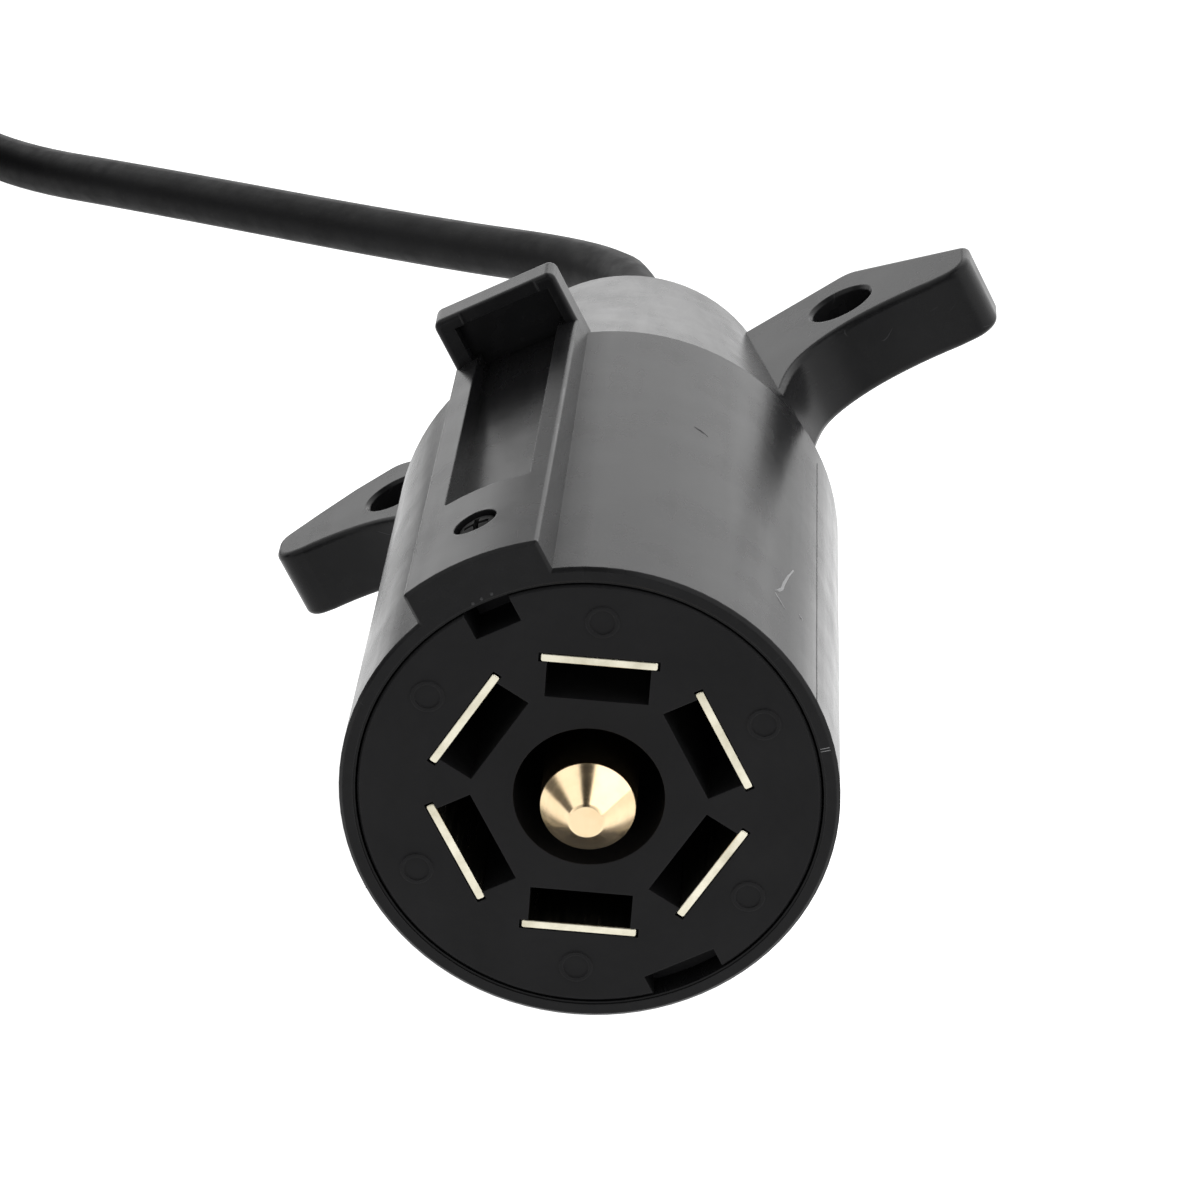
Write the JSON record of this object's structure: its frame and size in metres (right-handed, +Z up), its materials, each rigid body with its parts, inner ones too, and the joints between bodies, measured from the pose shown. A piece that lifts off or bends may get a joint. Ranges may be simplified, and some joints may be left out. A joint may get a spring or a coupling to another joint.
{
  "type": "trailer wiring plug",
  "caption": "Round trailer wiring plug with flat contacts round a centre pin, a raised key with latch hood, drilled pull ears, and a coiled cable ending in bare cores.",
  "frame": {"origin": "centre of the plug's mating face, on the plug's axis", "axes": "-Y is the mating direction and +Y runs towards the cable; +Z is up as the plug lies on a table, so the key leans 26 degrees from +Z towards -X; the table is at z = -23.25 mm"},
  "size_m": [0.2239, 0.2655, 0.0526],
  "materials": {
    "shell_plastic": "fine moulded texture, satin black",
    "carrier_plastic": "smooth satin black",
    "contact_brass": "stamped, lightly brushed",
    "pin_brass": "turned and polished",
    "screw_brass": "turned",
    "screw_steel": "zinc plated",
    "clamp_plastic": "matte",
    "relief_rubber": "matte",
    "jacket_rubber": "matte, fine grain",
    "tie_plastic": "woven hook and loop",
    "copper": "bare stranded copper",
    "core_white": "extruded",
    "core_blue": "extruded",
    "core_green": "extruded",
    "core_black": "extruded",
    "core_yellow": "extruded",
    "core_brown": "extruded",
    "core_purple": "extruded"
  },
  "bodies": {
    "plug": {"connector_shell": "shell_plastic", "terminal_carrier": "carrier_plastic", "centre_pin": "pin_brass", "cable_clamp_base": "clamp_plastic", "cable_clamp_cap": "clamp_plastic", "strain_relief": "relief_rubber", "cable_inner": "jacket_rubber", "cable": "jacket_rubber", "cable_coil": "jacket_rubber", "coil_tie": "tie_plastic", "core_bared_ends": "copper", "tail_bared_ends": "copper", "contact_upper_right": "contact_brass", "contact_right": "contact_brass", "contact_lower_right": "contact_brass", "contact_lower_left": "contact_brass", "contact_left": "contact_brass", "contact_upper_left": "contact_brass", "core_white": "core_white", "core_blue": "core_blue", "core_green": "core_green", "core_black": "core_black", "core_yellow": "core_yellow", "core_brown": "core_brown", "core_purple": "core_purple", "tail_white": "core_white", "tail_blue": "core_blue", "tail_green": "core_green", "tail_black": "core_black", "tail_yellow": "core_yellow", "tail_brown": "core_brown", "tail_purple": "core_purple"},
    "retaining_screw": {"retaining_screw": "screw_steel"},
    "clamp_screw_left": {"clamp_screw_left": "screw_steel"},
    "clamp_screw_right": {"clamp_screw_right": "screw_steel"},
    "binding_screw_upper_right": {"binding_screw_upper_right": "screw_brass"},
    "binding_screw_right": {"binding_screw_right": "screw_brass"},
    "binding_screw_lower_right": {"binding_screw_lower_right": "screw_brass"},
    "binding_screw_lower_left": {"binding_screw_lower_left": "screw_brass"},
    "binding_screw_left": {"binding_screw_left": "screw_brass"},
    "binding_screw_upper_left": {"binding_screw_upper_left": "screw_brass"},
    "binding_screw_centre": {"binding_screw_centre": "screw_brass"}
  },
  "joints": [
    {"name": "binding_screw_upper_right_turn", "type": "hinge", "parent": "plug", "child": "binding_screw_upper_right", "pos_m": [0.0012, 0.041, 0.01716], "axis": [0.0698, 0, 0.9976], "continuous": true},
    {"name": "binding_screw_right_turn", "type": "hinge", "parent": "plug", "child": "binding_screw_right", "pos_m": [0.01546, 0.041, 0.00754], "axis": [0.8988, 0, 0.4384], "continuous": true},
    {"name": "binding_screw_lower_right_turn", "type": "hinge", "parent": "plug", "child": "binding_screw_lower_right", "pos_m": [0.01426, 0.041, -0.00962], "axis": [0.829, 0, -0.5592], "continuous": true},
    {"name": "binding_screw_lower_left_turn", "type": "hinge", "parent": "plug", "child": "binding_screw_lower_left", "pos_m": [-0.0012, 0.041, -0.01716], "axis": [-0.0698, 0, -0.9976], "continuous": true},
    {"name": "binding_screw_left_turn", "type": "hinge", "parent": "plug", "child": "binding_screw_left", "pos_m": [-0.01546, 0.041, -0.00754], "axis": [-0.8988, 0, -0.4384], "continuous": true},
    {"name": "binding_screw_upper_left_turn", "type": "hinge", "parent": "plug", "child": "binding_screw_upper_left", "pos_m": [-0.01426, 0.041, 0.00962], "axis": [-0.829, 0, 0.5592], "continuous": true},
    {"name": "binding_screw_centre_turn", "type": "hinge", "parent": "plug", "child": "binding_screw_centre", "pos_m": [-0.00241, 0.041, 0.00494], "axis": [-0.4384, 0, 0.8988], "continuous": true},
    {"name": "retaining_screw_turn", "type": "hinge", "parent": "plug", "child": "retaining_screw", "pos_m": [-0.00994, 0.00915, 0.02141], "axis": [-0.4384, 0, 0.8988], "continuous": true},
    {"name": "clamp_screw_left_turn", "type": "hinge", "parent": "plug", "child": "clamp_screw_left", "pos_m": [-0.00921, 0.068, 0.00063], "axis": [-0.4384, 0, 0.8988], "continuous": true},
    {"name": "clamp_screw_right_turn", "type": "hinge", "parent": "plug", "child": "clamp_screw_right", "pos_m": [0.00517, 0.068, 0.00764], "axis": [-0.4384, 0, 0.8988], "continuous": true}
  ]
}
